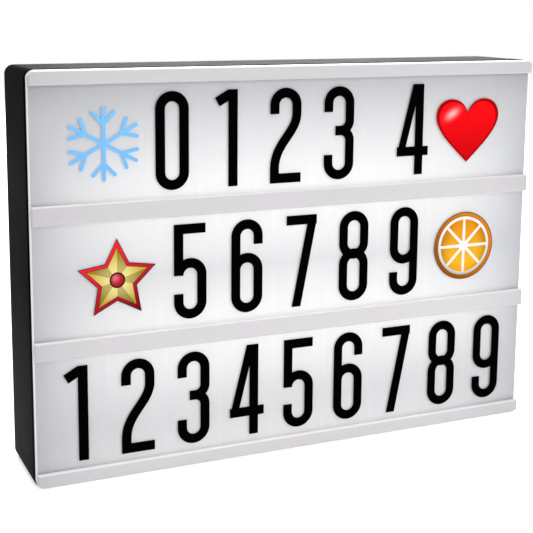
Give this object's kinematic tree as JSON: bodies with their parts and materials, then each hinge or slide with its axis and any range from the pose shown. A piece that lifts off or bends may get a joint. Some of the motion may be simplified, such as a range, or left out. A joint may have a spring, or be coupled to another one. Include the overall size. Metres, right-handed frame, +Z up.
{
  "type": "cinema light box",
  "caption": "Free-standing cinema light box: black moulded tub, lit opal front and pale rails that hold rows of clear sliding letter tiles, with a battery bay and switch behind.",
  "frame": {"origin": "centre of the box in plan, on the surface it stands on", "axes": "+X along the rails to the viewer's right as the lit front is read, -Y out of the lit front, +Z up"},
  "size_m": [0.305, 0.0556, 0.22],
  "materials": {
    "housing_black": "fine moulded texture, satin",
    "panel_opal": "lit opal, smooth",
    "rail_pale": "smooth satin",
    "tile_clear": "clear film with a printed sign",
    "sheet_white": "white sheet",
    "strip_white": "white solder mask",
    "led_amber": "phosphor under clear resin",
    "contact_nickel": "nickel plated",
    "switch_black": "satin",
    "terminal_brass": "stamped",
    "board_green": "solder mask",
    "component_black": "moulded",
    "screw_steel": "zinc plated",
    "lead_black": "smooth",
    "lead_red": "smooth",
    "lead_white": "smooth",
    "cell_wrap": "plain shrink sleeve"
  },
  "bodies": {
    "root": {"aa_cell_1": "cell_wrap", "aa_cell_2": "cell_wrap", "aa_cell_3": "cell_wrap", "aa_cell_4": "cell_wrap", "aa_cell_5": "cell_wrap", "aa_cell_6": "cell_wrap", "battery_lead_black": "lead_black", "battery_lead_red": "lead_red", "battery_springs": "contact_nickel", "board_components": "component_black", "board_screws": "screw_steel", "bottom_rail": "rail_pale", "contact_plates": "contact_nickel", "control_board": "board_green", "front_panel": "panel_opal", "housing_screws": "screw_steel", "led_chips_lower": "led_amber", "led_chips_upper": "led_amber", "led_strip_lower": "strip_white", "led_strip_upper": "strip_white", "lower_middle_rail": "rail_pale", "lower_strip_lead": "lead_white", "power_socket": "contact_nickel", "rear_housing": "housing_black", "reflector_sheet": "sheet_white", "switch_body": "switch_black", "switch_lead": "lead_red", "switch_terminals": "terminal_brass", "top_rail": "rail_pale", "upper_middle_rail": "rail_pale", "upper_strip_lead": "lead_white"},
    "top_row_tile_1": {"top_row_tile_1": "tile_clear"},
    "top_row_tile_2": {"top_row_tile_2": "tile_clear"},
    "top_row_tile_3": {"top_row_tile_3": "tile_clear"},
    "top_row_tile_4": {"top_row_tile_4": "tile_clear"},
    "top_row_tile_5": {"top_row_tile_5": "tile_clear"},
    "top_row_tile_6": {"top_row_tile_6": "tile_clear"},
    "top_row_tile_7": {"top_row_tile_7": "tile_clear"},
    "middle_row_tile_1": {"middle_row_tile_1": "tile_clear"},
    "middle_row_tile_2": {"middle_row_tile_2": "tile_clear"},
    "middle_row_tile_3": {"middle_row_tile_3": "tile_clear"},
    "middle_row_tile_4": {"middle_row_tile_4": "tile_clear"},
    "middle_row_tile_5": {"middle_row_tile_5": "tile_clear"},
    "middle_row_tile_6": {"middle_row_tile_6": "tile_clear"},
    "middle_row_tile_7": {"middle_row_tile_7": "tile_clear"},
    "bottom_row_tile_1": {"bottom_row_tile_1": "tile_clear"},
    "bottom_row_tile_2": {"bottom_row_tile_2": "tile_clear"},
    "bottom_row_tile_3": {"bottom_row_tile_3": "tile_clear"},
    "bottom_row_tile_4": {"bottom_row_tile_4": "tile_clear"},
    "bottom_row_tile_5": {"bottom_row_tile_5": "tile_clear"},
    "bottom_row_tile_6": {"bottom_row_tile_6": "tile_clear"},
    "bottom_row_tile_7": {"bottom_row_tile_7": "tile_clear"},
    "bottom_row_tile_8": {"bottom_row_tile_8": "tile_clear"},
    "bottom_row_tile_9": {"bottom_row_tile_9": "tile_clear"},
    "switch_rocker": {"switch_rocker": "switch_black"},
    "battery_door": {"battery_door": "housing_black"}
  },
  "joints": [
    {"name": "top_row_tile_1_slide", "type": "slide", "parent": "root", "child": "top_row_tile_1", "axis": [1, 0, 0], "range_m": [-0.06236, 0.00049]},
    {"name": "top_row_tile_2_slide", "type": "slide", "parent": "root", "child": "top_row_tile_2", "axis": [1, 0, 0], "range_m": [-0.00049, 0.00186]},
    {"name": "top_row_tile_3_slide", "type": "slide", "parent": "root", "child": "top_row_tile_3", "axis": [1, 0, 0], "range_m": [-0.00186, 0.00186]},
    {"name": "top_row_tile_4_slide", "type": "slide", "parent": "root", "child": "top_row_tile_4", "axis": [1, 0, 0], "range_m": [-0.00186, 0.00186]},
    {"name": "top_row_tile_5_slide", "type": "slide", "parent": "root", "child": "top_row_tile_5", "axis": [1, 0, 0], "range_m": [-0.00186, 0.00937]},
    {"name": "top_row_tile_6_slide", "type": "slide", "parent": "root", "child": "top_row_tile_6", "axis": [1, 0, 0], "range_m": [-0.00937, 0.00049]},
    {"name": "top_row_tile_7_slide", "type": "slide", "parent": "root", "child": "top_row_tile_7", "axis": [1, 0, 0], "range_m": [-0.00049, 0.06658]},
    {"name": "middle_row_tile_1_slide", "type": "slide", "parent": "root", "child": "middle_row_tile_1", "axis": [1, 0, 0], "range_m": [-0.06864, 0.0023]},
    {"name": "middle_row_tile_2_slide", "type": "slide", "parent": "root", "child": "middle_row_tile_2", "axis": [1, 0, 0], "range_m": [-0.0023, 0.00201]},
    {"name": "middle_row_tile_3_slide", "type": "slide", "parent": "root", "child": "middle_row_tile_3", "axis": [1, 0, 0], "range_m": [-0.00201, 0.00201]},
    {"name": "middle_row_tile_4_slide", "type": "slide", "parent": "root", "child": "middle_row_tile_4", "axis": [1, 0, 0], "range_m": [-0.00201, 0.00201]},
    {"name": "middle_row_tile_5_slide", "type": "slide", "parent": "root", "child": "middle_row_tile_5", "axis": [1, 0, 0], "range_m": [-0.00201, 0.00201]},
    {"name": "middle_row_tile_6_slide", "type": "slide", "parent": "root", "child": "middle_row_tile_6", "axis": [1, 0, 0], "range_m": [-0.00201, 0.0026]},
    {"name": "middle_row_tile_7_slide", "type": "slide", "parent": "root", "child": "middle_row_tile_7", "axis": [1, 0, 0], "range_m": [-0.0026, 0.06629]},
    {"name": "bottom_row_tile_1_slide", "type": "slide", "parent": "root", "child": "bottom_row_tile_1", "axis": [1, 0, 0], "range_m": [-0.04039, 0.00135]},
    {"name": "bottom_row_tile_2_slide", "type": "slide", "parent": "root", "child": "bottom_row_tile_2", "axis": [1, 0, 0], "range_m": [-0.00135, 0.00135]},
    {"name": "bottom_row_tile_3_slide", "type": "slide", "parent": "root", "child": "bottom_row_tile_3", "axis": [1, 0, 0], "range_m": [-0.00135, 0.00135]},
    {"name": "bottom_row_tile_4_slide", "type": "slide", "parent": "root", "child": "bottom_row_tile_4", "axis": [1, 0, 0], "range_m": [-0.00135, 0.00135]},
    {"name": "bottom_row_tile_5_slide", "type": "slide", "parent": "root", "child": "bottom_row_tile_5", "axis": [1, 0, 0], "range_m": [-0.00135, 0.00135]},
    {"name": "bottom_row_tile_6_slide", "type": "slide", "parent": "root", "child": "bottom_row_tile_6", "axis": [1, 0, 0], "range_m": [-0.00135, 0.00135]},
    {"name": "bottom_row_tile_7_slide", "type": "slide", "parent": "root", "child": "bottom_row_tile_7", "axis": [1, 0, 0], "range_m": [-0.00135, 0.00135]},
    {"name": "bottom_row_tile_8_slide", "type": "slide", "parent": "root", "child": "bottom_row_tile_8", "axis": [1, 0, 0], "range_m": [-0.00135, 0.00135]},
    {"name": "bottom_row_tile_9_slide", "type": "slide", "parent": "root", "child": "bottom_row_tile_9", "axis": [1, 0, 0], "range_m": [-0.00135, 0.04039]},
    {"name": "rocker_tilt", "type": "hinge", "parent": "root", "child": "switch_rocker", "pos_m": [0.1055, 0.02375, 0.034], "axis": [1, 0, 0], "range_deg": [-20, 0]},
    {"name": "door_hinge", "type": "hinge", "parent": "root", "child": "battery_door", "pos_m": [0, 0.02665, 0.0849], "axis": [-1, 0, 0], "range_deg": [0, 80]}
  ]
}
